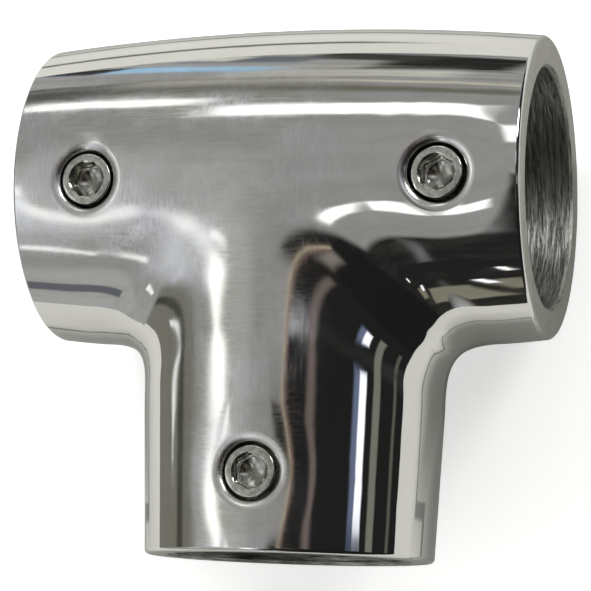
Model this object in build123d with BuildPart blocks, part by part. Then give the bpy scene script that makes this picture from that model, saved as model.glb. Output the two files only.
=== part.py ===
"""Tube clamp tee for round rail tube: one casting and three hexagon socket set screws.

X runs along the through bore, the stem points to -Y, and the set screws face +Z.
The origin is where the axes of the two bores cross. Sizes are in millimetres.
"""
from build123d import *
import math
import os

os.makedirs("parts", exist_ok=True)

# The rail tube and its fit in the casting
tube_dia = 25.4
bore_clearance = 0.3        # on the diameter
bore_r = (tube_dia + bore_clearance) / 2

# Run barrel: crowned, so its wall is thickest in the middle
run_length = 55.0
end_wall = 3.35             # wall of the casting at the two open ends
barrel_crown = 1.45         # rise of the outer surface from the ends to the middle

# Stem: tapers from the barrel to its open end
stem_reach = 40.0           # from the run axis to the open end
stem_end_wall = 2.7
stem_root_step = 0.35       # the stem's surface starts this far inside the barrel's crest

# Blends and edges of the casting
crotch_radius = 5.0
end_edge_chamfer = 0.6
bore_edge_chamfer = 0.3
hole_mouth_chamfer = 0.6

# Set screws, M6 with a hexagon socket
screw_dia = 6.0
screw_thread_play = 0.1     # hole diameter over screw diameter
screw_recess = 0.6          # face of the screw below the crest of the casting
screw_tip_gap = 0.05        # tip of the screw above the bore, so the tube slides in
screw_edge_chamfer = 0.4
socket_width = 3.0          # across flats
socket_mouth_dia = 4.0      # countersink at the face of the screw
socket_drill_dia = 2.6      # the drill that leaves the socket's conical floor
socket_floor = 0.35         # steel left under the drill's point
drill_angle = 118.0

# Where the screws stand
run_screw_inset = 8.5       # from the open end of the run to the screw
run_screw_offset = 1.2      # towards the stem, off the run axis
stem_screw_inset = 8.2      # from the open end of the stem to the screw

# The casting's outer surfaces
barrel_end_r = bore_r + end_wall
barrel_mid_r = barrel_end_r + barrel_crown
crown_radius = ((run_length / 2) ** 2 + barrel_crown ** 2) / (2 * barrel_crown)
stem_root_r = barrel_mid_r - stem_root_step
stem_end_r = bore_r + stem_end_wall


def barrel_radius(x):
    """Outer radius of the crowned barrel at x."""
    return barrel_mid_r - crown_radius + math.sqrt(crown_radius ** 2 - x ** 2)


def stem_radius(reach):
    """Outer radius of the tapered stem at a distance from the run axis."""
    return stem_root_r + (stem_end_r - stem_root_r) * reach / stem_reach


# Each screw: name, x, y, height of the casting there, turn of its socket
run_screw_x = run_length / 2 - run_screw_inset
run_crest = math.sqrt(barrel_radius(run_screw_x) ** 2 - run_screw_offset ** 2)
stem_screw_reach = stem_reach - stem_screw_inset
screws = [
    ("run_left_set_screw", -run_screw_x, -run_screw_offset, run_crest, 8.0),
    ("run_right_set_screw", run_screw_x, -run_screw_offset, run_crest, 30.0),
    ("stem_set_screw", 0.0, -stem_screw_reach, stem_radius(stem_screw_reach), 32.0),
]
hole_r = (screw_dia + screw_thread_play) / 2

# The casting
with BuildPart() as tee_body:
    # crowned barrel, turned about the run axis
    with BuildSketch(Plane.XY):
        with BuildLine():
            half = run_length / 2
            ThreePointArc((-half, barrel_end_r), (0, barrel_mid_r), (half, barrel_end_r))
            Polyline((half, barrel_end_r), (half, 0), (-half, 0), (-half, barrel_end_r))
        make_face()
    revolve(axis=Axis.X)

    # tapered stem, turned about its own axis
    with BuildSketch(Plane.XY):
        with BuildLine():
            Polyline(
                (0, 0), (stem_root_r, 0), (stem_end_r, -stem_reach), (0, -stem_reach), close=True
            )
        make_face()
    revolve(axis=Axis.Y)

    # saddle blend all the way round, where the two meet
    saddle = tee_body.edges(Select.LAST).filter_by(GeomType.BSPLINE)
    fillet(saddle, crotch_radius)

    # broken outer edges of the three open ends
    ends = [
        tee_body.faces().sort_by(Axis.X)[0],
        tee_body.faces().sort_by(Axis.X)[-1],
        tee_body.faces().sort_by(Axis.Y)[0],
    ]
    chamfer([face.outer_wire().edges() for face in ends], end_edge_chamfer)

    # through bore of the run, and the bore of the stem that meets it
    with Locations(Plane((-run_length / 2, 0, 0), x_dir=(0, -1, 0), z_dir=(1, 0, 0))):
        Cylinder(
            bore_r, run_length, align=(Align.CENTER, Align.CENTER, Align.MIN), mode=Mode.SUBTRACT
        )
    with Locations(Plane((0, -stem_reach, 0), x_dir=(1, 0, 0), z_dir=(0, 1, 0))):
        Cylinder(
            bore_r, stem_reach, align=(Align.CENTER, Align.CENTER, Align.MIN), mode=Mode.SUBTRACT
        )

    # broken inner edges at the three mouths
    mouths = [
        tee_body.faces().sort_by(Axis.X)[0],
        tee_body.faces().sort_by(Axis.X)[-1],
        tee_body.faces().sort_by(Axis.Y)[0],
    ]
    chamfer([face.inner_wires().edges() for face in mouths], bore_edge_chamfer)

    # screw holes through the front wall only, countersunk at the surface
    for name, x, y, crest, turn in screws:
        with Locations((x, y, 0)):
            Cylinder(
                hole_r,
                crest + hole_mouth_chamfer,
                align=(Align.CENTER, Align.CENTER, Align.MIN),
                mode=Mode.SUBTRACT,
            )
        with Locations((x, y, crest - hole_mouth_chamfer)):
            Cone(
                hole_r,
                hole_r + 2 * hole_mouth_chamfer,
                2 * hole_mouth_chamfer,
                align=(Align.CENTER, Align.CENTER, Align.MIN),
                mode=Mode.SUBTRACT,
            )

tee_body.part.label = "tee_body"
print("tee_body", tee_body.part.is_valid, len(tee_body.solids()), round(tee_body.part.volume, 1))
export_step(tee_body.part, "parts/tee_body.step")

# The set screws, each as long as the wall that it stands in
drill_slope = math.tan(math.radians(drill_angle / 2))
drill_point = socket_drill_dia / 2 / drill_slope
socket_sink = socket_mouth_dia / 2 / drill_slope
for name, x, y, crest, turn in screws:
    face_z = crest - screw_recess
    length = face_z - bore_r - screw_tip_gap
    socket_depth = length - socket_floor - drill_point
    with BuildPart() as set_screw:
        with Locations((x, y, face_z)):
            Cylinder(screw_dia / 2, length, align=(Align.CENTER, Align.CENTER, Align.MAX))
        chamfer(set_screw.edges().filter_by(GeomType.CIRCLE), screw_edge_chamfer)
        # hexagon socket, its drilled floor and its countersunk mouth
        with BuildSketch(Plane((x, y, face_z))):
            RegularPolygon(socket_width / 2, 6, major_radius=False, rotation=turn)
        extrude(amount=-socket_depth, mode=Mode.SUBTRACT)
        for z, radius, depth in (
            (face_z - socket_depth, socket_drill_dia / 2, drill_point),
            (face_z, socket_mouth_dia / 2, socket_sink),
        ):
            with Locations((x, y, z)):
                Cone(
                    0,
                    radius,
                    depth,
                    align=(Align.CENTER, Align.CENTER, Align.MAX),
                    mode=Mode.SUBTRACT,
                )
    set_screw.part.label = name
    print(name, set_screw.part.is_valid, len(set_screw.solids()), round(length, 2))
    export_step(set_screw.part, f"parts/{name}.step")
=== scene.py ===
# %% [markdown]
# # A polished tube clamp tee
#
# The real object is one stainless casting that joins two rail tubes at a right angle, with three
# small hexagon socket set screws that clamp them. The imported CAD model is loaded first, because it
# fixes where everything is: X along the through bore, the stem towards -Y, and the screws facing
# +Z. Every new piece is then modelled on top of it, in metres.

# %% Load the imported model
import math

import bpy
from mathutils import Matrix, Vector
from mathutils.bvhtree import BVHTree


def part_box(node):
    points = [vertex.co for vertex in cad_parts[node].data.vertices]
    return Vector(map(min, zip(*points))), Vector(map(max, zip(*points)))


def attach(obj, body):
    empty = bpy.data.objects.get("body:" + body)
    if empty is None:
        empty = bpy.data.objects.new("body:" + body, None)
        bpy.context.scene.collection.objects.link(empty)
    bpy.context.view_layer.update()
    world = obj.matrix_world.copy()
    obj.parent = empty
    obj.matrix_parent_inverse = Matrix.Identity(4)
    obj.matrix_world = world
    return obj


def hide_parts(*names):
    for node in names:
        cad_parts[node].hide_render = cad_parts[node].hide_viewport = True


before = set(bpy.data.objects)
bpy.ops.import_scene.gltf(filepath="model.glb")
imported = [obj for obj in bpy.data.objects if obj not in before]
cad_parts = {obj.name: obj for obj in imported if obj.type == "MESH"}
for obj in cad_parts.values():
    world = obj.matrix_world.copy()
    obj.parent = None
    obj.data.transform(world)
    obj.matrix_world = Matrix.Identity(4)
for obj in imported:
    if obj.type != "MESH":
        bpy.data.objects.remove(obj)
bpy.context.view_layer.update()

print("nodes", sorted(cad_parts))

# %% [markdown]
# ## Sizes
#
# A scene file stands alone, so it repeats the few driving sizes of the part that its pieces need.
# They are written in millimetres and turned into metres once, which keeps them easy to compare with
# a drawing.

# %% Sizes of the casting
MM = 0.001
bore_r = 12.85 * MM
run_half = 27.5 * MM
barrel_end_r = 16.2 * MM
barrel_mid_r = 17.64 * MM
stem_reach = 40.0 * MM
stem_root_r = 17.3 * MM
stem_end_r = 15.55 * MM
crown_rise = barrel_mid_r - barrel_end_r
crown_r = (run_half**2 + crown_rise**2) / (2 * crown_rise)


def barrel_radius(x):
    """Outer radius of the crowned barrel at x."""
    return barrel_mid_r - crown_r + math.sqrt(crown_r**2 - x**2)


def stem_radius(y):
    """Outer radius of the tapered stem at y, which runs from 0 to -stem_reach."""
    return stem_root_r + (stem_end_r - stem_root_r) * -y / stem_reach


print("barrel radius at the ends", round(barrel_radius(run_half) / MM, 3), "mm")

# %% [markdown]
# ## Helpers for the workshop
#
# Round parts of a casting start on a lathe, so `turned` works like one: it draws the outline as a
# chain of edges, extruding one vertex from point to point, and spins it round an axis. `modify`
# applies a modifier, and `carve` takes one shape away from another, which is how holes are drilled.
# `pick` comes before them, because an operator acts on everything that is selected, and `report`
# prints how a mesh came out.


# %% Helpers for turned shapes, modifiers and cuts
def pick(*objects):
    """Selects these objects alone and makes the first one active."""
    bpy.ops.object.select_all(action="DESELECT")
    for obj in objects:
        obj.select_set(True)
    bpy.context.view_layer.objects.active = objects[0]


def turned(name, points, axis, steps, centre=(0, 0, 0)):
    """A closed solid, spun from a chain of points that starts and ends on the axis."""
    bpy.ops.object.select_all(action="DESELECT")
    bpy.ops.mesh.primitive_plane_add(size=MM)
    solid = bpy.context.object
    solid.name = solid.data.name = name
    bpy.ops.object.mode_set(mode="EDIT")
    bpy.ops.mesh.merge(type="CENTER")
    bpy.ops.transform.translate(value=points[0])
    for here, there in zip(points, points[1:]):
        step = Vector(there) - Vector(here)
        bpy.ops.mesh.extrude_vertices_move(TRANSFORM_OT_translate={"value": step})
    bpy.ops.mesh.select_all(action="SELECT")
    bpy.ops.mesh.spin(steps=steps, angle=2 * math.pi, center=centre, axis=axis)
    bpy.ops.mesh.select_all(action="SELECT")
    bpy.ops.mesh.remove_doubles(threshold=0.003 * MM)
    bpy.ops.mesh.normals_make_consistent(inside=False)
    bpy.ops.object.mode_set(mode="OBJECT")
    return solid


def modify(obj, kind, **settings):
    """Adds one modifier with these settings and applies it."""
    pick(obj)
    modifier = obj.modifiers.new(kind.title(), kind)
    for setting, value in settings.items():
        setattr(modifier, setting, value)
    bpy.ops.object.modifier_apply(modifier=modifier.name)


def carve(obj, cutter, operation="DIFFERENCE"):
    """Cuts the cutter out of obj, or joins it on, and throws the cutter away."""
    modify(obj, "BOOLEAN", object=cutter, operation=operation, solver="MANIFOLD")
    bpy.data.meshes.remove(cutter.data)


def report(obj):
    """Prints how large a mesh is and how many edges don't have just two faces."""
    mesh = obj.data
    mesh.calc_loop_triangles()
    sides = {}
    for face in mesh.polygons:
        for key in face.edge_keys:
            sides[key] = sides.get(key, 0) + 1
    odd = sum(1 for n in sides.values() if n != 2)
    print(obj.name, len(mesh.loop_triangles), "triangles,", odd, "edges without two faces")


# %% [markdown]
# ## The outer form of the casting
#
# The real tee is poured in one piece and then ground and buffed, so its two tubes melt into each
# other without a seam. Here a crowned barrel and a tapered stem are turned longer than they end up
# and joined into one solid.

# %% Turn the two blanks and join them
spare = 3.5 * MM
barrel_parts = 48
stem_parts = 24
outer_steps = 288

stations = [(-1 + 2 * i / barrel_parts) * (run_half + spare) for i in range(barrel_parts + 1)]
outline = [(x, 0, barrel_radius(x)) for x in stations]
outline = [(stations[0], 0, 0), *outline, (stations[-1], 0, 0)]
casting = turned("tee_casting", outline, axis=(1, 0, 0), steps=outer_steps)

stem_foot = -stem_reach - spare
levels = [stem_foot * i / stem_parts for i in range(stem_parts + 1)]
outline = [(stem_radius(y), y, 0) for y in levels]
outline = [(0, 0, 0), *outline, (0, stem_foot, 0)]
stem_blank = turned("stem_blank", outline, axis=(0, 1, 0), steps=outer_steps)
carve(casting, stem_blank, "UNION")
report(casting)

# %% [markdown]
# ## Soften the crotches
#
# A voxel remesh first wraps the form in one even net of squares. An even net is what makes a mirror
# finish possible: long thin triangles would show as kinks in every reflection.
#
# Where the tubes meet, the fitting has a round blend of about five millimetres. Smoothing pulls
# each vertex towards its neighbours, as a buffing wheel wears down an edge, so the blend is made by
# smoothing a band round the seam many times. A vertex group limits it: full weight on the seam,
# fading to nothing further out. A shrinkwrap back to the turned shape keeps the rest true, and one
# level of subdivision makes the net fine enough for the polish.

# %% Helpers for the band round the seam
behind_seam = 1.2


def copied(obj, name):
    """A copy of obj with its own mesh."""
    twin = obj.copy()
    twin.data = obj.data.copy()
    twin.name = twin.data.name = name
    bpy.context.collection.objects.link(twin)
    return twin


def seam_weight(co, inner, outer):
    """1 near the line where barrel and stem meet, falling to 0 further away."""
    along = max(-run_half, min(run_half, co.x))
    off_barrel = abs(math.hypot(co.y, co.z) - barrel_radius(along))
    off_stem = abs(math.hypot(co.x, co.z) - stem_radius(co.y))
    far = max(off_barrel, off_stem, max(0.0, co.y) * behind_seam)
    part = min(1.0, max(0.0, (outer - far) / (outer - inner)))
    return part * part * (3 - 2 * part)


def weigh_seam(obj, inner, outer):
    """Fills the vertex group named seam."""
    group = obj.vertex_groups.get("seam") or obj.vertex_groups.new(name="seam")
    for vertex in obj.data.vertices:
        group.add([vertex.index], seam_weight(vertex.co, inner, outer), "REPLACE")


# %% Remesh, blend and refine the skin
net_size = 0.8 * MM
blend_passes = 110

true_form = copied(casting, "true_form")
wrap = {"target": true_form, "wrap_method": "NEAREST_SURFACEPOINT"}
modify(casting, "REMESH", mode="VOXEL", voxel_size=net_size, adaptivity=0.0)
modify(casting, "SHRINKWRAP", **wrap)
modify(casting, "SMOOTH", factor=0.5, iterations=3)
weigh_seam(casting, 2.2 * MM, 7.5 * MM)
modify(casting, "SMOOTH", factor=0.5, iterations=blend_passes, vertex_group="seam")
modify(casting, "SUBSURF", levels=1, render_levels=1)
weigh_seam(casting, 5.0 * MM, 8.5 * MM)
modify(casting, "SHRINKWRAP", **wrap, vertex_group="seam", invert_vertex_group=True)
modify(casting, "SMOOTH", factor=0.5, iterations=8)
bpy.data.meshes.remove(true_form.data)
report(casting)

# %% [markdown]
# ## Shallow dips round the screw holes
#
# A buffing wheel dives a little at every hole, which leaves a shallow dip that bends the
# reflections round each screw. Proportional editing does the same: one vertex is pushed down and
# its neighbours follow less and less. The left hole has one more small hollow, just above it.

# %% Push the dips
screw_seats = {
    "run_left_set_screw": (-19.0 * MM, -1.2 * MM),
    "run_right_set_screw": (19.0 * MM, -1.2 * MM),
    "stem_set_screw": (0.0, -31.8 * MM),
}
dip_deep = 0.35 * MM
dip_wide = 8.0 * MM
hollow_deep = 0.3 * MM
hollow_wide = 2.6 * MM


def top_of(obj, x, y):
    """Height of obj's front surface at x, y."""
    hit, place = obj.ray_cast(Vector((x, y, 0.03)), Vector((0, 0, -1)))[:2]
    return place.z if hit else None


def dip(obj, x, y, depth, size):
    """Pushes the surface in at x, y, with a soft fall-off of this size."""
    pick(obj)
    bpy.ops.object.mode_set(mode="EDIT")
    bpy.ops.mesh.select_all(action="DESELECT")
    bpy.ops.object.mode_set(mode="OBJECT")
    spot = Vector((x, y, top_of(obj, x, y)))
    nearest = min(obj.data.vertices, key=lambda v: (v.co - spot).length_squared)
    nearest.select = True
    bpy.ops.object.mode_set(mode="EDIT")
    bpy.ops.transform.translate(
        value=(0, 0, -depth),
        use_proportional_edit=True,
        proportional_edit_falloff="SMOOTH",
        proportional_size=size,
    )
    bpy.ops.object.mode_set(mode="OBJECT")


for name, (x, y) in screw_seats.items():
    before = round(top_of(casting, x, y) / MM, 3)
    dip(casting, x, y, dip_deep, dip_wide)
    print(name, "surface from", before, "to", round(top_of(casting, x, y) / MM, 3), "mm")
left_x, left_y = screw_seats["run_left_set_screw"]
dip(casting, left_x + 0.2 * MM, left_y + 3.1 * MM, hollow_deep, hollow_wide)
skin = copied(casting, "skin_before_cutting")

# %% [markdown]
# ## Saw and round the open ends
#
# The three ends are sawn square and their outer edges are rolled over by the polishing. Each cutter
# is turned with a hollow rounded corner, so one cut leaves the flat end and the round edge together.

# %% Trim the three ends
edge_round = 0.5 * MM
roll_turn = math.radians(82)
roll_steps = 8
trim_lead = 2 * MM
trim_past = 8 * MM
trim_wide = 24 * MM


def trimmer(name, end, radius, edge, place, axis):
    """A turned cutter for one open end. place(along, out) gives a point of its outline."""
    points = [place(end, 0)]
    for i in range(roll_steps + 1):
        turn = roll_turn * i / roll_steps
        points.append(
            place(end - edge * (1 - math.cos(turn)), radius - edge * (1 - math.sin(turn)))
        )
    # the cut runs on in the direction of its last step, so no step is left on the skin
    sine, cosine = math.sin(roll_turn), math.cos(roll_turn)
    outward, onward = Vector(place(0, 1)), Vector(place(1, 0))
    points.append(Vector(points[-1]) + (outward * cosine - onward * sine) * trim_lead)
    points.append(place(end - edge * (1 - cosine) - trim_lead * sine, trim_wide))
    points.append(place(end + trim_past, trim_wide))
    points.append(place(end + trim_past, 0))
    return turned(name, points, axis=axis, steps=outer_steps)


for side in (-1, 1):
    cutter = trimmer(
        "run_trim",
        run_half,
        barrel_radius(run_half - edge_round),
        edge_round,
        lambda along, out: Vector((side * along, 0, out)),
        (1, 0, 0),
    )
    carve(casting, cutter)
cutter = trimmer(
    "stem_trim",
    stem_reach,
    stem_radius(-stem_reach + edge_round),
    edge_round,
    lambda along, out: Vector((out, -along, 0)),
    (0, 1, 0),
)
carve(casting, cutter)
report(casting)

# %% [markdown]
# ## Bore the casting
#
# The run bore goes from end to end, and the stem bore stops where it meets it. Their inner edges
# are broken by a small chamfer, which the cutters carry as a flare at each mouth.

# %% Run bore and stem bore
flare = 0.3 * MM
run_on = 2 * MM
bore_steps = 240
run_out = run_half + run_on
stem_out = stem_reach + run_on
wide_r = bore_r + flare + run_on
stem_start = -0.4 * MM

cutter = turned(
    "run_bore",
    [
        (-run_out, 0, 0),
        (-run_out, 0, wide_r),
        (-run_half + flare, 0, bore_r),
        (run_half - flare, 0, bore_r),
        (run_out, 0, wide_r),
        (run_out, 0, 0),
    ],
    axis=(1, 0, 0),
    steps=bore_steps,
)
carve(casting, cutter)
cutter = turned(
    "stem_bore",
    [
        (0, stem_start, 0),
        (bore_r, stem_start, 0),
        (bore_r, -stem_reach + flare, 0),
        (wide_r, -stem_out, 0),
        (0, -stem_out, 0),
    ],
    axis=(0, 1, 0),
    steps=bore_steps,
)
carve(casting, cutter)
report(casting)

# %% [markdown]
# ## Drill and tap the screw holes
#
# Each hole is drilled square to the front, tapped, and its mouth is rolled over by the buffing. The
# cutter is a turned trumpet with thread rings on its shank. The skin is curved and the trumpet is
# not, so each vertex of the trumpet's bell is moved by the height of the skin under it. That keeps
# the rolled edge equally wide all round the hole.

# %% Cut the three holes
hole_r = 3.05 * MM
mouth_round = 1.15 * MM
mouth_deep = 0.62 * MM
thread_pitch = 1.0 * MM
thread_depth = 0.32 * MM
shank_low = -6.5 * MM
first_ring = -6.0 * MM
bell_top = 3 * MM
bell_turn = math.radians(78)
bell_steps = 8


def hole_cutter(name, x, y):
    """A threaded shank with a bell that follows the skin round the hole."""
    crest = top_of(skin, x, y)
    shank = [(hole_r, shank_low)]
    ring = first_ring
    while ring < -mouth_deep - 0.6 * thread_pitch:
        shank.append((hole_r, ring))
        shank.append((hole_r + thread_depth, ring + 0.35 * thread_pitch))
        shank.append((hole_r, ring + 0.7 * thread_pitch))
        ring += thread_pitch
    bell = []
    for i in range(bell_steps + 1):
        turn = bell_turn * i / bell_steps
        out = hole_r + mouth_round * (1 - math.cos(turn))
        bell.append((out, -mouth_deep * (1 - math.sin(turn))))
    out, up = bell[-1]
    bell.append((out + mouth_round * math.sin(turn), up + mouth_deep * math.cos(turn)))
    bell.append((bell[-1][0], bell_top))
    chain = [(0, shank_low), *shank, *bell, (0, bell_top)]
    points = [(x + r, y, crest + z) for r, z in chain]
    cutter = turned(name, points, axis=(0, 0, 1), centre=(x, y, 0), steps=128)
    for vertex in cutter.data.vertices:
        depth = vertex.co.z - crest
        if depth > -mouth_deep - 0.01 * MM:
            vertex.co.z += top_of(skin, vertex.co.x, vertex.co.y) - crest
    return cutter


for name, (x, y) in screw_seats.items():
    carve(casting, hole_cutter(name + "_hole", x, y))
report(casting)

# %% [markdown]
# ## Name the surfaces
#
# Four finishes meet on the casting: the polished skin, the faced ends, the bored walls and the
# tapped holes. Where a face lies tells which one it has, and each face gets that material slot.

# %% Give every face its surface
surfaces = ["polished_skin", "faced_end", "bored_wall", "tapped_wall"]
touch = 0.01 * MM
bored_r = bore_r + flare * 0.98
tapped_r = hole_r + thread_depth + 0.02 * MM


def surface_at(place, normal):
    """Which of the four surfaces a face belongs to, from where it is."""
    for x, y in screw_seats.values():
        if place.z > 0 and math.hypot(place.x - x, place.y - y) < tapped_r:
            depth = place.z - top_of(skin, place.x, place.y)
            if abs(normal.z) < 0.9 and depth < -mouth_deep * 0.97:
                return "tapped_wall"
    in_run = math.hypot(place.y, place.z) < bored_r
    in_stem = place.y < 0 and math.hypot(place.x, place.z) < bored_r
    if in_run or in_stem:
        return "bored_wall"
    if abs(place.x) > run_half - touch or place.y < -stem_reach + touch:
        return "faced_end"
    return "polished_skin"


casting.data.materials.clear()
for name in surfaces:
    casting.data.materials.append(bpy.data.materials.new(name))
on_skin = set()
for face in casting.data.polygons:
    kind = surface_at(face.center, face.normal)
    face.material_index = surfaces.index(kind)
    if kind == "polished_skin":
        on_skin.update(face.vertices)
counts = [sum(1 for f in casting.data.polygons if f.material_index == i) for i in range(4)]
print("faces by surface", dict(zip(surfaces, counts)))

# %% [markdown]
# ## Smooth shading without kinks
#
# Cutting leaves many small faces along each edge, and their normals would kink a reflection there.
# The uncut skin still has perfect normals, so a data transfer hands them over to the outside of the
# finished casting, while the edges that the tools cut stay crisp.

# %% Hand over the normals
on_uncut = 0.006 * MM
outside = casting.vertex_groups.new(name="outside")
uncut = BVHTree.FromPolygons(
    [v.co for v in skin.data.vertices], [f.vertices for f in skin.data.polygons]
)
for index in on_skin:
    away = uncut.find_nearest(casting.data.vertices[index].co)[3]
    if away < on_uncut:
        outside.add([index], 1.0, "REPLACE")
pick(casting)
bpy.ops.object.shade_smooth_by_angle(angle=math.radians(32))
pick(skin)
bpy.ops.object.shade_smooth()

pick(casting)
handover = casting.modifiers.new("normals", "DATA_TRANSFER")
handover.object = skin
handover.use_loop_data = True
handover.data_types_loops = {"CUSTOM_NORMAL"}
handover.loop_mapping = "POLYINTERP_NEAREST"
handover.vertex_group = "outside"
bpy.ops.object.modifier_apply(modifier=handover.name)
casting.vertex_groups.clear()
bpy.data.meshes.remove(skin.data)

# %% [markdown]
# ## The set screws
#
# Each set screw is a short threaded plug with a broached hexagon socket. It is turned with its
# thread rings, then the socket is cut with a six-sided punch whose corners are slightly round, a
# drill with a 118 degree point and a countersink. A small bevel on every edge catches the light as
# real edges do. A chain of points is written as radius and height.

# %% Sizes of a set screw and its socket punch
screw_r = 3.0 * MM
thread_root = screw_r - 0.3 * MM
thread_crest = screw_r - 0.02 * MM
screw_pitch = 0.7 * MM
shoulder = [(0.26, 0.30), (0.30, 0.12), (0.38, 0.03), (0.52, 0.0)]
socket_half = 1.72 * MM
socket_corner = 0.14 * MM
drill_r = 1.5 * MM
drill_slope = math.tan(math.radians(59))
cad_drill_r = 1.3 * MM
cad_floor = 0.35 * MM
sink_r = 2.0 * MM
screw_faces = {name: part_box(name) for name in screw_seats}
socket_turn = {"run_left_set_screw": 8.0, "run_right_set_screw": 30.0, "stem_set_screw": 32.0}


def socket_punch(x, y, face, depth, turned_by):
    """A six-sided punch that reaches this deep below the screw's face."""
    middle = (x, y, face + MM - depth / 2)
    bpy.ops.mesh.primitive_cylinder_add(
        vertices=6,
        radius=socket_half / math.cos(math.pi / 6),
        depth=depth + 2 * MM,
        location=middle,
    )
    punch = bpy.context.object
    bpy.ops.object.mode_set(mode="EDIT")
    bpy.ops.mesh.select_all(action="SELECT")
    bpy.ops.transform.rotate(
        value=-math.radians(turned_by + 30), orient_axis="Z", center_override=middle
    )
    bpy.ops.mesh.select_all(action="DESELECT")
    bpy.ops.object.mode_set(mode="OBJECT")
    for edge in punch.data.edges:
        ends = [punch.data.vertices[i].co for i in edge.vertices]
        edge.select = abs((ends[0] - ends[1]).normalized().z) > 0.9
    bpy.ops.object.mode_set(mode="EDIT")
    bpy.ops.mesh.select_mode(type="EDGE")
    bpy.ops.mesh.bevel(offset=socket_corner, segments=3, affect="EDGES")
    bpy.ops.mesh.select_mode(type="VERT")
    bpy.ops.object.mode_set(mode="OBJECT")
    bpy.ops.object.transform_apply(location=True, rotation=True, scale=True)
    return punch


# %% Model the three set screws
def set_screw(name, x, y):
    """One threaded plug with its socket, where the CAD node is."""
    low, high = screw_faces[name]
    face, tip = high.z, low.z
    chain = [(0, tip), (2.3 * MM, tip), (2.62 * MM, tip + 0.36 * MM)]
    ring = tip + 0.4 * MM
    while ring < face - 1.3 * MM:
        chain += [(thread_root, ring), (thread_crest, ring + 0.3 * MM)]
        chain += [(thread_crest, ring + 0.36 * MM), (thread_root, ring + 0.62 * MM)]
        ring += screw_pitch
    chain += [(screw_r - 0.26 * MM, ring + 0.1 * MM)]
    chain += [(screw_r - inset * MM, face - drop * MM) for inset, drop in shoulder]
    points = [(x + r, y, z) for r, z in [*chain, (0, face)]]
    plug = turned(name + "_plug", points, axis=(0, 0, 1), centre=(x, y, 0), steps=96)

    # as deep as in the CAD model, where a narrower drill leaves this much steel under its point
    depth = (face - tip) - cad_floor - cad_drill_r / drill_slope
    carve(plug, socket_punch(x, y, face, depth, socket_turn[name]))
    floor_z = face - depth
    roof_z = floor_z + 0.4 * MM
    point = [(x, y, floor_z - drill_r / drill_slope), (x + drill_r, y, floor_z)]
    point += [(x + drill_r, y, roof_z), (x, y, roof_z)]
    carve(plug, turned("drill", point, axis=(0, 0, 1), centre=(x, y, 0), steps=64))
    rim_z = face + MM / drill_slope
    sink = [(x, y, face - sink_r / drill_slope), (x + 3.0 * MM, y, rim_z), (x, y, rim_z)]
    carve(plug, turned("sink", sink, axis=(0, 0, 1), centre=(x, y, 0), steps=96))
    sharp = math.radians(28)
    modify(plug, "BEVEL", width=0.045 * MM, segments=2, limit_method="ANGLE", angle_limit=sharp)
    pick(plug)
    bpy.ops.object.shade_smooth_by_angle(angle=math.radians(26))
    report(plug)
    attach(plug, "root")
    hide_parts(name)
    return plug


plugs = [set_screw(name, x, y) for name, (x, y) in screw_seats.items()]

# %% [markdown]
# ## The camera
#
# The photograph looks down on the fitting from a little to its right, through a long lens. The
# camera's three directions and its place were worked out from the outline, the open end and the
# screws.

# %% Place the camera
bpy.ops.object.camera_add()
camera = bpy.context.object
camera.name = "camera"
to_right = (0.957687, 0.035414, -0.285623)
to_top = (0.006727, 0.989375, 0.145228)
to_viewer = (0.287732, -0.141005, 0.947274)
stand = Vector((0.082070, -0.051814, 0.271467))
facing = Matrix((to_right, to_top, to_viewer)).transposed().to_4x4()
camera.matrix_world = Matrix.Translation(stand) @ facing
camera.data.sensor_width = 36.0
camera.data.lens = 160.206
bpy.context.scene.camera = camera
print("camera stands", round(stand.length, 3), "m from the crossing of the bores")

# %% [markdown]
# ## Shader maths as plain expressions
#
# A finish is a sum of small patterns, and wiring each Math node by hand hides what is meant. This
# class holds one output socket. Its operators add the Math nodes, so `1 - mask` works, and `node`
# adds any other kind.


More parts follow.
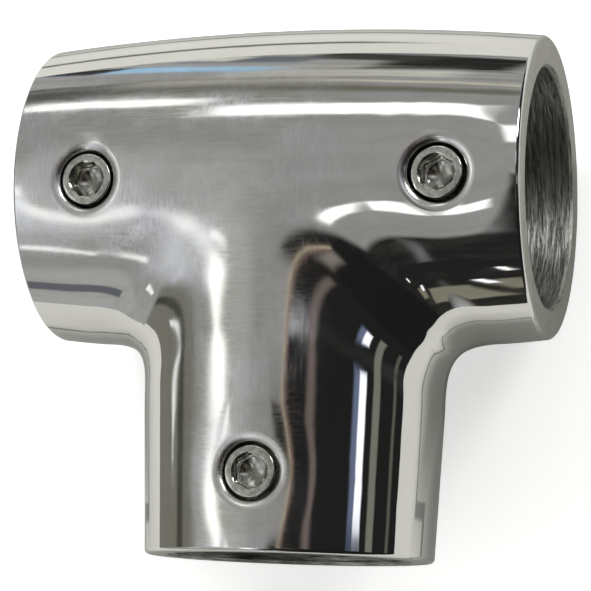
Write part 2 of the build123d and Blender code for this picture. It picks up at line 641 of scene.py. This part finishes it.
# %% A small class for shader expressions
class Flow:
    """One value, colour or vector on its way through a node tree."""

    def __init__(self, tree, socket=None):
        self.tree = tree
        self.socket = socket

    def node(self, kind, settings=None, inputs=None, out=0):
        """Adds a node, sets it up, fills or links its inputs and gives back one output."""
        made = self.tree.nodes.new("ShaderNode" + kind)
        for setting, value in (settings or {}).items():
            setattr(made, setting, value)
        for key, value in (inputs or {}).items():
            if isinstance(value, Flow):
                self.tree.links.new(value.socket, made.inputs[key])
            else:
                made.inputs[key].default_value = value
        return Flow(self.tree, made.outputs[out] if made.outputs else None)

    def math(self, operation, *others):
        """A Math node that takes this value first."""
        values = dict(enumerate((self, *others)))
        return self.node("Math", {"operation": operation}, values)

    def __add__(self, other):
        return self.math("ADD", other)

    __radd__ = __add__

    def __mul__(self, other):
        return self.math("MULTIPLY", other)

    __rmul__ = __mul__

    def __sub__(self, other):
        return self.math("SUBTRACT", other)

    def __rsub__(self, other):
        return self.node("Math", {"operation": "SUBTRACT"}, {0: other, 1: self})

    def __truediv__(self, other):
        return self.math("DIVIDE", other)

    def ramp(self, low, high):
        """0 below low, 1 above high, and a smooth step between them."""
        if low > high:
            return 1 - self.ramp(high, low)
        inputs = {"Value": self, "From Min": low, "From Max": high}
        return self.node("MapRange", {"interpolation_type": "SMOOTHSTEP"}, inputs)

    def mixed(self, first, second):
        """A colour between first and second, with this value as the share of the second."""
        inputs = {0: self, 6: first, 7: second}
        return self.node("Mix", {"data_type": "RGBA"}, inputs, out=2)

    def xyz(self):
        """The three numbers of a vector."""
        parts = self.tree.nodes.new("ShaderNodeSeparateXYZ")
        self.tree.links.new(self.socket, parts.inputs[0])
        return [Flow(self.tree, socket) for socket in parts.outputs]

    def noise(self, scale, detail=2.0, roughness=0.5, stretch=(1.0, 1.0, 1.0), turn=0.0):
        """Noise on this vector, with its grain stretched and turned about Z."""
        vector = self.node(
            "Mapping", None, {"Vector": self, "Scale": stretch, "Rotation": (0.0, 0.0, turn)}
        )
        inputs = {"Vector": vector, "Scale": scale, "Detail": detail, "Roughness": roughness}
        return self.node("TexNoise", None, inputs)


def tone(red, green=None, blue=None):
    """A colour given as sRGB values from 0 to 255, as Blender's linear colour."""
    parts = [red, red if green is None else green, red if blue is None else blue]
    parts = [c / 255 for c in parts]
    parts = [c / 12.92 if c < 0.04045 else ((c + 0.055) / 1.055) ** 2.4 for c in parts]
    return (*parts, 1.0)


# %% [markdown]
# ## The room that the polish reflects
#
# Polished steel has almost no colour of its own: what shows on it is the room. So the room is
# designed first, as a photographer would place things round the table: grey walls, a dark side
# where nothing is lit, a few lamps and a window. The sky of the scene is that room. Two angles say
# where a thing is: how far it leans from straight above to +X, and to +Y. A card's colour is what
# it should look like in the steel, which gives back two thirds of the light.

# %% Measure the sky and make a card
scene = bpy.context.scene
scene.world = bpy.data.worlds.new("room")
scene.world.use_nodes = True
tree = scene.world.node_tree
tree.nodes.clear()
sky = Flow(tree)
direction = sky.node("TexCoord")
east, north, above = direction.xyz()
from_zenith = above.math("ARCCOSINE") * math.degrees(1)
sideways = (east * east + north * north).math("SQRT").math("MAXIMUM", 0.0001)
lean_x = east * from_zenith / sideways
lean_y = north * from_zenith / sideways
steel_share = 0.66


def shown(colour, strength=1.0):
    """The light that a card needs so that the steel shows this colour."""
    return tuple(c * strength / steel_share for c in colour[:3]) + (1.0,)


def card(room, place, half, colour, turn, soft, strength):
    """Hangs a soft-edged card in the room. Angles are in degrees."""
    c, s = math.cos(math.radians(turn)), math.sin(math.radians(turn))
    along = (lean_x - place[0]) * c + (lean_y - place[1]) * s
    across = (lean_y - place[1]) * c - (lean_x - place[0]) * s
    over = (along.math("ABSOLUTE") - half[0]).math("MAXIMUM", across.math("ABSOLUTE") - half[1])
    mask = 1 - over.ramp(-soft / 2, soft / 2)
    return mask.mixed(room, shown(colour, strength))


# %% [markdown]
# Each card has its place, its half size, its colour, its turn, the width of its soft edge and its
# strength. Later cards hang in front of earlier ones.

# %% Hang the cards
WHITE = tone(255)
room = from_zenith.ramp(60.0, 125.0).mixed(shown(tone(140)), shown(tone(158)))
cards = [
    # walls and large pale panels
    ((-34, -2), (14, 18), tone(166), 0, 20, 1.0),
    ((-46, -20), (20, 14), tone(190, 192, 197), -50, 22, 1.0),
    ((-88, 0), (22, 26), tone(112, 112, 105), 0, 10, 1.0),
    ((-80, 0), (3.5, 24), tone(64, 64, 58), 0, 4, 1.0),
    ((-48, -78), (24, 16), tone(158), 0, 10, 1.0),
    ((-41.5, -77), (6.5, 3.2), tone(92, 95, 102), -25, 2, 1.0),
    # the dark side of the room
    ((82, 20), (58, 150), tone(44), 0, 12, 1.0),
    ((66, -63), (68, 63), tone(26), 0, 4, 1.0),
    ((60, -5), (50.5, 11), tone(30), 0, 3, 1.0),
    ((-5.5, -78), (9.5, 36), tone(32), 0, 5, 1.0),
    ((14, -18), (4, 6), tone(122, 117, 110), -30, 8, 1.0),
    ((20, 12.5), (11, 4.5), tone(226, 230, 240), 0, 2.5, 1.0),
    ((28, 0), (3, 9), tone(104, 94, 91), 0, 4, 1.0),
    ((7.2, 0), (0.9, 22), tone(176, 166, 146), 0, 1.0, 1.0),
    ((9.2, 0), (1.1, 22), tone(100, 82, 76), 0, 1.2, 1.0),
    # lamps and bright strips
    ((-38, -9), (17, 3.4), tone(240, 242, 248), -51.5, 8, 1.0),
    ((-29.5, -18.5), (2.2, 2.6), WHITE, 0, 5, 1.0),
    ((-44, 3.5), (6, 4), WHITE, -40, 5, 1.4),
    ((-33.8, -4), (1.6, 3.5), WHITE, 0, 2, 1.2),
    ((-34, -48.3), (5.5, 1.4), tone(250), -40, 1.6, 1.1),
    ((-63.5, -41.4), (8, 2.2), tone(240), -42, 2, 1.1),
    ((-86, 5.5), (4.5, 1.2), tone(240), 25, 2, 1.0),
    ((-19, -46), (5, 15), tone(240, 243, 250), 0, 6, 1.3),
    ((-8.6, -19.0), (2.5, 2.8), WHITE, 10, 2.5, 2.0),
    ((-13.5, 44.8), (9.0, 6.0), WHITE, 0, 4, 1.7),
    ((-32, 57.0), (7, 2.4), WHITE, -14, 3, 1.7),
    ((-0.5, 30), (1.6, 6), WHITE, 0, 4, 1.6),
    ((43, 39), (10, 9), WHITE, 0, 5, 9.0),
    # shelves, the window and the dark things round it
    ((-22, 66), (24, 2.2), tone(104, 104, 96), -8, 3, 1.0),
    ((-20, 72.5), (22, 0.8), tone(186, 184, 170), -8, 1.5, 1.0),
    ((-40, 69), (5, 6), tone(84), 0, 4, 1.0),
    ((-19, 79), (9, 3.5), tone(184, 184, 178), 0, 4, 1.0),
    ((-12.5, 91), (5.5, 7.5), tone(38), 0, 3, 1.0),
    ((-21, 96), (6, 3.5), tone(54), -14, 3, 1.0),
    ((-31, 94), (6, 3), tone(100, 106, 112), -12, 3, 1.0),
    ((-37, 86.8), (12, 2.1), tone(150, 188, 218), -18, 1.4, 1.0),
    ((-46, 90), (5, 2.4), tone(52), -22, 2, 1.0),
    ((-45, 100), (14, 2.0), tone(196, 197, 190), -24, 2, 1.0),
    # small lights on the dark side
    ((64.5, 0.8), (3.5, 3.2), tone(96, 106, 130), 0, 3, 1.0),
    ((68.5, 0.8), (2.8, 2.8), tone(240, 244, 255), 0, 1.6, 1.2),
    ((80.5, 2), (3, 6), tone(112, 112, 104), 0, 2, 1.0),
    ((97.5, 2), (1.5, 6), tone(84, 84, 78), 0, 1.5, 1.0),
    ((-11, -90), (4, 6), tone(124, 122, 108), 15, 2, 1.0),
    ((-4, -84), (2, 4.5), tone(120, 117, 104), 15, 2, 1.0),
    ((-6.2, -80.5), (0.5, 2.0), tone(240, 246, 255), 15, 1.0, 1.5),
    ((-3.3, -71), (0.3, 1.5), WHITE, 10, 0.8, 1.6),
]
for place, half, colour, turned_by, soft, strength in cards:
    room = card(room, place, half, colour, turned_by, soft, strength)

# %% [markdown]
# Nothing in a real room is even, so faint clouds lie over the lit side and thin lines over the
# shelves. The camera itself sees plain white behind the fitting.

# %% Finish the room
clouds = direction.noise(6.0, 3.0, 0.6)
lit_side = lean_x.ramp(6.0, -4.0)
room = (clouds.ramp(0.42, 0.66) * lit_side * 0.16).mixed(room, shown(tone(96, 94, 84)))
shelf = sky.node("CombineXYZ", None, {0: lean_x * 0.02, 1: lean_y * 0.42, 2: 0.0})
lines = shelf.noise(1.0, 3.0, 0.6)
up_there = lean_y.ramp(60.0, 72.0)
room = (lines.ramp(0.55, 0.68) * up_there * 0.42).mixed(room, shown(tone(40)))
room = (lines.ramp(0.45, 0.33) * up_there * 0.35).mixed(room, shown(tone(214, 214, 200)))
camera_ray = sky.node("LightPath")
room = camera_ray.mixed(room, (1.0, 1.0, 1.0, 1.0))
backdrop = sky.node("Background", None, {"Color": room, "Strength": 1.0})
sky.node("OutputWorld", None, {"Surface": backdrop})
print("the room has", len(cards), "cards and", len(tree.nodes), "nodes")

# %% [markdown]
# ## The sheet of paper
#
# The fitting rests on its back, on the fat middle of the barrel and the end of the stem, so the
# sheet leans by the three degrees between them.

# %% Lay the sheet
paper_size = (0.21, 0.25, 1.0)
paper_shift = (0.0, -0.012, 0.0)
lean = math.atan2(barrel_mid_r - stem_end_r, stem_reach)
bpy.ops.mesh.primitive_grid_add(x_subdivisions=8, y_subdivisions=8, size=1.0)
paper = bpy.context.object
paper.name = "paper"
bpy.ops.object.mode_set(mode="EDIT")
bpy.ops.mesh.select_all(action="SELECT")
bpy.ops.transform.resize(value=paper_size)
bpy.ops.transform.translate(value=paper_shift)
bpy.ops.transform.rotate(value=-lean, orient_axis="X", center_override=(0.0, 0.0, 0.0))
bpy.ops.transform.translate(value=(0.0, 0.0, -barrel_mid_r / math.cos(lean)))
bpy.ops.object.mode_set(mode="OBJECT")
heights = [(round(v.co.y / MM), round(v.co.z / MM, 1)) for v in paper.data.vertices]
print("paper edges y, z", heights[0], heights[-1])

# %% [markdown]
# The camera sees the sheet brighter than it is lit, so it reads as clean white and still takes a
# shadow.
# Mirror rays see it a little warmer. For them a shadow is painted on it close to the fitting, with
# one thin painted dark line round the fitting and one behind it, which draw the crisp lines along
# the outline.

# %% Finish the paper
white_paper = bpy.data.materials.new("white_paper")
white_paper.use_nodes = True
tree = white_paper.node_tree
tree.nodes.clear()
sheet = Flow(tree)
x, y = sheet.node("TexCoord", out=3).xyz()[:2]
beside_run = (x.math("ABSOLUTE") - run_half).math("MAXIMUM", y.math("ABSOLUTE") - barrel_mid_r)
beside_stem = (x.math("ABSOLUTE") - stem_end_r).math("MAXIMUM", y * -1 - stem_reach)
beside_stem = beside_stem.math("MAXIMUM", y)
beside = beside_run.math("MINIMUM", beside_stem)
# painted shadow: the paper is darker near the fitting, with two thin painted dark lines, for mirror
# rays only
shade = 1 - beside.ramp(0.004, 0.026)
painted_rim_shade_line = beside.ramp(0.0150, 0.0158) * (1 - beside.ramp(0.0172, 0.0185))
glossy_ray = sheet.node("LightPath", out=3)
painted_far_shade_line = y.ramp(0.0550, 0.0565) * (1 - y.ramp(0.0600, 0.0625)) * x.ramp(0.012, -0.006)
painted_mirror_shade = (shade * 0.62).math("MAXIMUM", painted_rim_shade_line * 0.7).math("MAXIMUM", painted_far_shade_line * 0.85)
painted_mirror_shade = painted_mirror_shade * glossy_ray
paper_tone_with_painted_shade = painted_mirror_shade.mixed(tone(238, 238, 234), tone(96, 98, 92))
matt = sheet.node("BsdfDiffuse", None, {"Color": paper_tone_with_painted_shade})
white_glow = sheet.node("Emission", None, {"Color": (1.0, 1.0, 1.0, 1.0), "Strength": 0.62})
warm_light = {"Color": tone(250, 249, 236), "Strength": 0.20 * (1 - painted_mirror_shade)}
warm_glow = sheet.node("Emission", None, warm_light)
no_glow = sheet.node("Emission", None, {"Strength": 0.0})
camera_ray = sheet.node("LightPath")
mirrored = sheet.node("MixShader", None, {0: glossy_ray, 1: no_glow, 2: warm_glow})
lift = sheet.node("MixShader", None, {0: camera_ray, 1: mirrored, 2: white_glow})
both = sheet.node("AddShader", None, {0: matt, 1: lift})
sheet.node("OutputMaterial", None, {"Surface": both})
paper.data.materials.append(white_paper)

# %% [markdown]
# ## The steel finishes
#
# The skin is mirror polished on its flanks and only satin on its front, where the wheel left fine
# hairlines. The open ends are faced on a lathe, the bores are rough turned and dull, and the screws
# are a plainer, slightly olive steel. All patterns read Object coordinates, which are metres here,
# so a scale of 1000 is a grain of one millimetre.


# %% Helpers for steel
def steel(material, colour, roughness, height, distance):
    """Fills a material with metal of these expressions. distance is the bump's depth in metres."""
    flow = Flow(material.node_tree)
    bump = flow.node("Bump", None, {"Strength": 1.0, "Distance": distance, "Height": height})
    inputs = {"Base Color": colour, "Metallic": 1.0, "Roughness": roughness, "Normal": bump}
    shader = flow.node("BsdfPrincipled", None, inputs)
    flow.node("OutputMaterial", None, {"Surface": shader})


def fresh(name):
    """An empty material and the object coordinates in it."""
    material = bpy.data.materials.get(name) or bpy.data.materials.new(name)
    material.use_nodes = True
    material.node_tree.nodes.clear()
    return material, Flow(material.node_tree).node("TexCoord", out=3)


def from_screws(x, y):
    """The distance from the nearest screw's axis."""
    nearest = None
    for seat_x, seat_y in screw_seats.values():
        out = ((x - seat_x) * (x - seat_x) + (y - seat_y) * (y - seat_y)).math("SQRT")
        nearest = out if nearest is None else nearest.math("MINIMUM", out)
    return nearest


# %% Polish the skin
material, spot = fresh("polished_skin")
x, y, z = spot.xyz()
front = z.ramp(0.0118, 0.0155) * (x.ramp(0.014, 0.002) * 0.8 + 0.2)
patches = spot.noise(150.0, 4.0, 0.62)
clouds = spot.noise(420.0, 4.0, 0.7)
strokes_down = spot.noise(3600.0, 3.0, 0.7, stretch=(1.0, 0.08, 1.0), turn=0.12)
strokes_over = spot.noise(3600.0, 3.0, 0.7, stretch=(0.08, 1.0, 1.0), turn=0.35)
swap = patches.ramp(0.42, 0.58)
hair = strokes_down * swap + strokes_over * (1 - swap)
satin = front * (0.45 + patches * 0.8)
roughness = 0.03 + satin * 0.11 + satin * (hair - 0.5) * 0.3 + satin * (clouds - 0.5) * 0.12
in_mouth = (1 - from_screws(x, y).ramp(0.0037, 0.0046)) * z.ramp(0.0, 0.01)
roughness = roughness + in_mouth * 0.17
ripple = spot.noise(110.0, 2.0, 0.45)
height = ripple * 0.8 + satin * hair * 0.022 + satin * clouds * 0.03
olive = patches.ramp(0.36, 0.64).mixed((0.590, 0.582, 0.530, 1.0), (0.700, 0.698, 0.704, 1.0))
olive = (front * 0.85 + 0.15).mixed((0.655, 0.650, 0.630, 1.0), olive)
speckle = (hair * 0.6 + clouds * 0.4).ramp(0.40, 0.60)
speckle = speckle.mixed((0.575, 0.568, 0.545, 1.0), (0.735, 0.730, 0.720, 1.0))
tint = (satin * 0.4).mixed(olive, speckle)
steel(material, tint, roughness, height, 0.00003)

# %% Face the open ends
material, spot = fresh("faced_end")
x, y, z = spot.xyz()
rings_run = ((y * y + z * z).math("SQRT") * 9000.0).math("SINE")
rings_stem = ((x * x + z * z).math("SQRT") * 9000.0).math("SINE")
at_stem = y.ramp(-0.0395, -0.0399)
rings = rings_stem * at_stem + rings_run * (1 - at_stem)
grain = spot.noise(900.0, 3.0, 0.6)
tint = grain.ramp(0.3, 0.7).mixed((0.56, 0.55, 0.50, 1.0), (0.66, 0.65, 0.61, 1.0))
steel(material, tint, 0.14 + grain * 0.12, rings * 0.3 + grain, 0.000003)

# %% Dull the bores and the tapped holes
material, spot = fresh("bored_wall")
y = spot.xyz()[1]
run_strokes = spot.noise(2700.0, 4.0, 0.75, stretch=(1.0, 0.10, 0.10))
stem_strokes = spot.noise(2700.0, 4.0, 0.75, stretch=(0.10, 1.0, 0.10))
in_stem = y.ramp(-0.0125, -0.0135)
strokes = stem_strokes * in_stem + run_strokes * (1 - in_stem)
grain = spot.noise(1500.0, 4.0, 0.7)
tint = strokes.ramp(0.35, 0.68).mixed((0.17, 0.17, 0.15, 1.0), (0.60, 0.595, 0.56, 1.0))
steel(material, tint, 0.28 + grain * 0.20, strokes * 3.0 + grain * 0.5, 0.000075)

material, spot = fresh("tapped_wall")
grain = spot.noise(1500.0, 3.0, 0.6)
tint = grain.ramp(0.3, 0.7).mixed((0.18, 0.178, 0.165, 1.0), (0.36, 0.355, 0.335, 1.0))
steel(material, tint, 0.22 + grain * 0.2, grain, 0.000008)

# %% Finish the screws
material, spot = fresh("screw_steel")
x, y = spot.xyz()[:2]
from_axis = from_screws(x, y)
turning = (from_axis * 42000.0).math("SINE")
grain = spot.noise(1200.0, 4.0, 0.65)
tint = grain.ramp(0.3, 0.7).mixed((0.40, 0.40, 0.355, 1.0), (0.68, 0.675, 0.62, 1.0))
# painted shade: the colour inside the hexagon socket is darkened towards the screw's axis
painted_socket_shade = 1 - from_axis.ramp(0.00155, 0.00180)
tint = (painted_socket_shade * 0.5).mixed(tint, (0.11, 0.11, 0.095, 1.0))
steel(material, tint, 0.07 + grain * 0.12, turning * 0.5 + grain * 1.2, 0.0000028)
for plug in plugs:
    plug.data.materials.clear()
    plug.data.materials.append(material)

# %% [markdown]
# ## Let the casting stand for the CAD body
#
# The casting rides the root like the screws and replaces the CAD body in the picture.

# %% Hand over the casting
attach(casting, "root")
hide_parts("tee_body")

# %% [markdown]
# ## One soft lamp
#
# The room's own light fills most of the scene. One softbox above and behind the barrel lights the
# paper. It is hidden from mirror rays, because the highlight along the run is one of the cards.

# %% Hang the softbox
softbox_far = 0.8
lean_left = math.radians(-13.5)
lean_back = math.radians(43.5)
away = Vector((math.sin(lean_left) * 0.9, math.sin(lean_back), 0.0))
away.z = math.sqrt(1 - away.x**2 - away.y**2)
bpy.ops.object.light_add(type="AREA", location=away * softbox_far)
softbox = bpy.context.object
softbox.name = "softbox"
softbox.data.shape = "RECTANGLE"
softbox.data.size = 0.26
softbox.data.size_y = 0.20
softbox.data.energy = 2.6
softbox.visible_glossy = False
softbox.rotation_euler = (-away).to_track_quat("-Z", "Y").to_euler()
scene.view_settings.view_transform = "Standard"
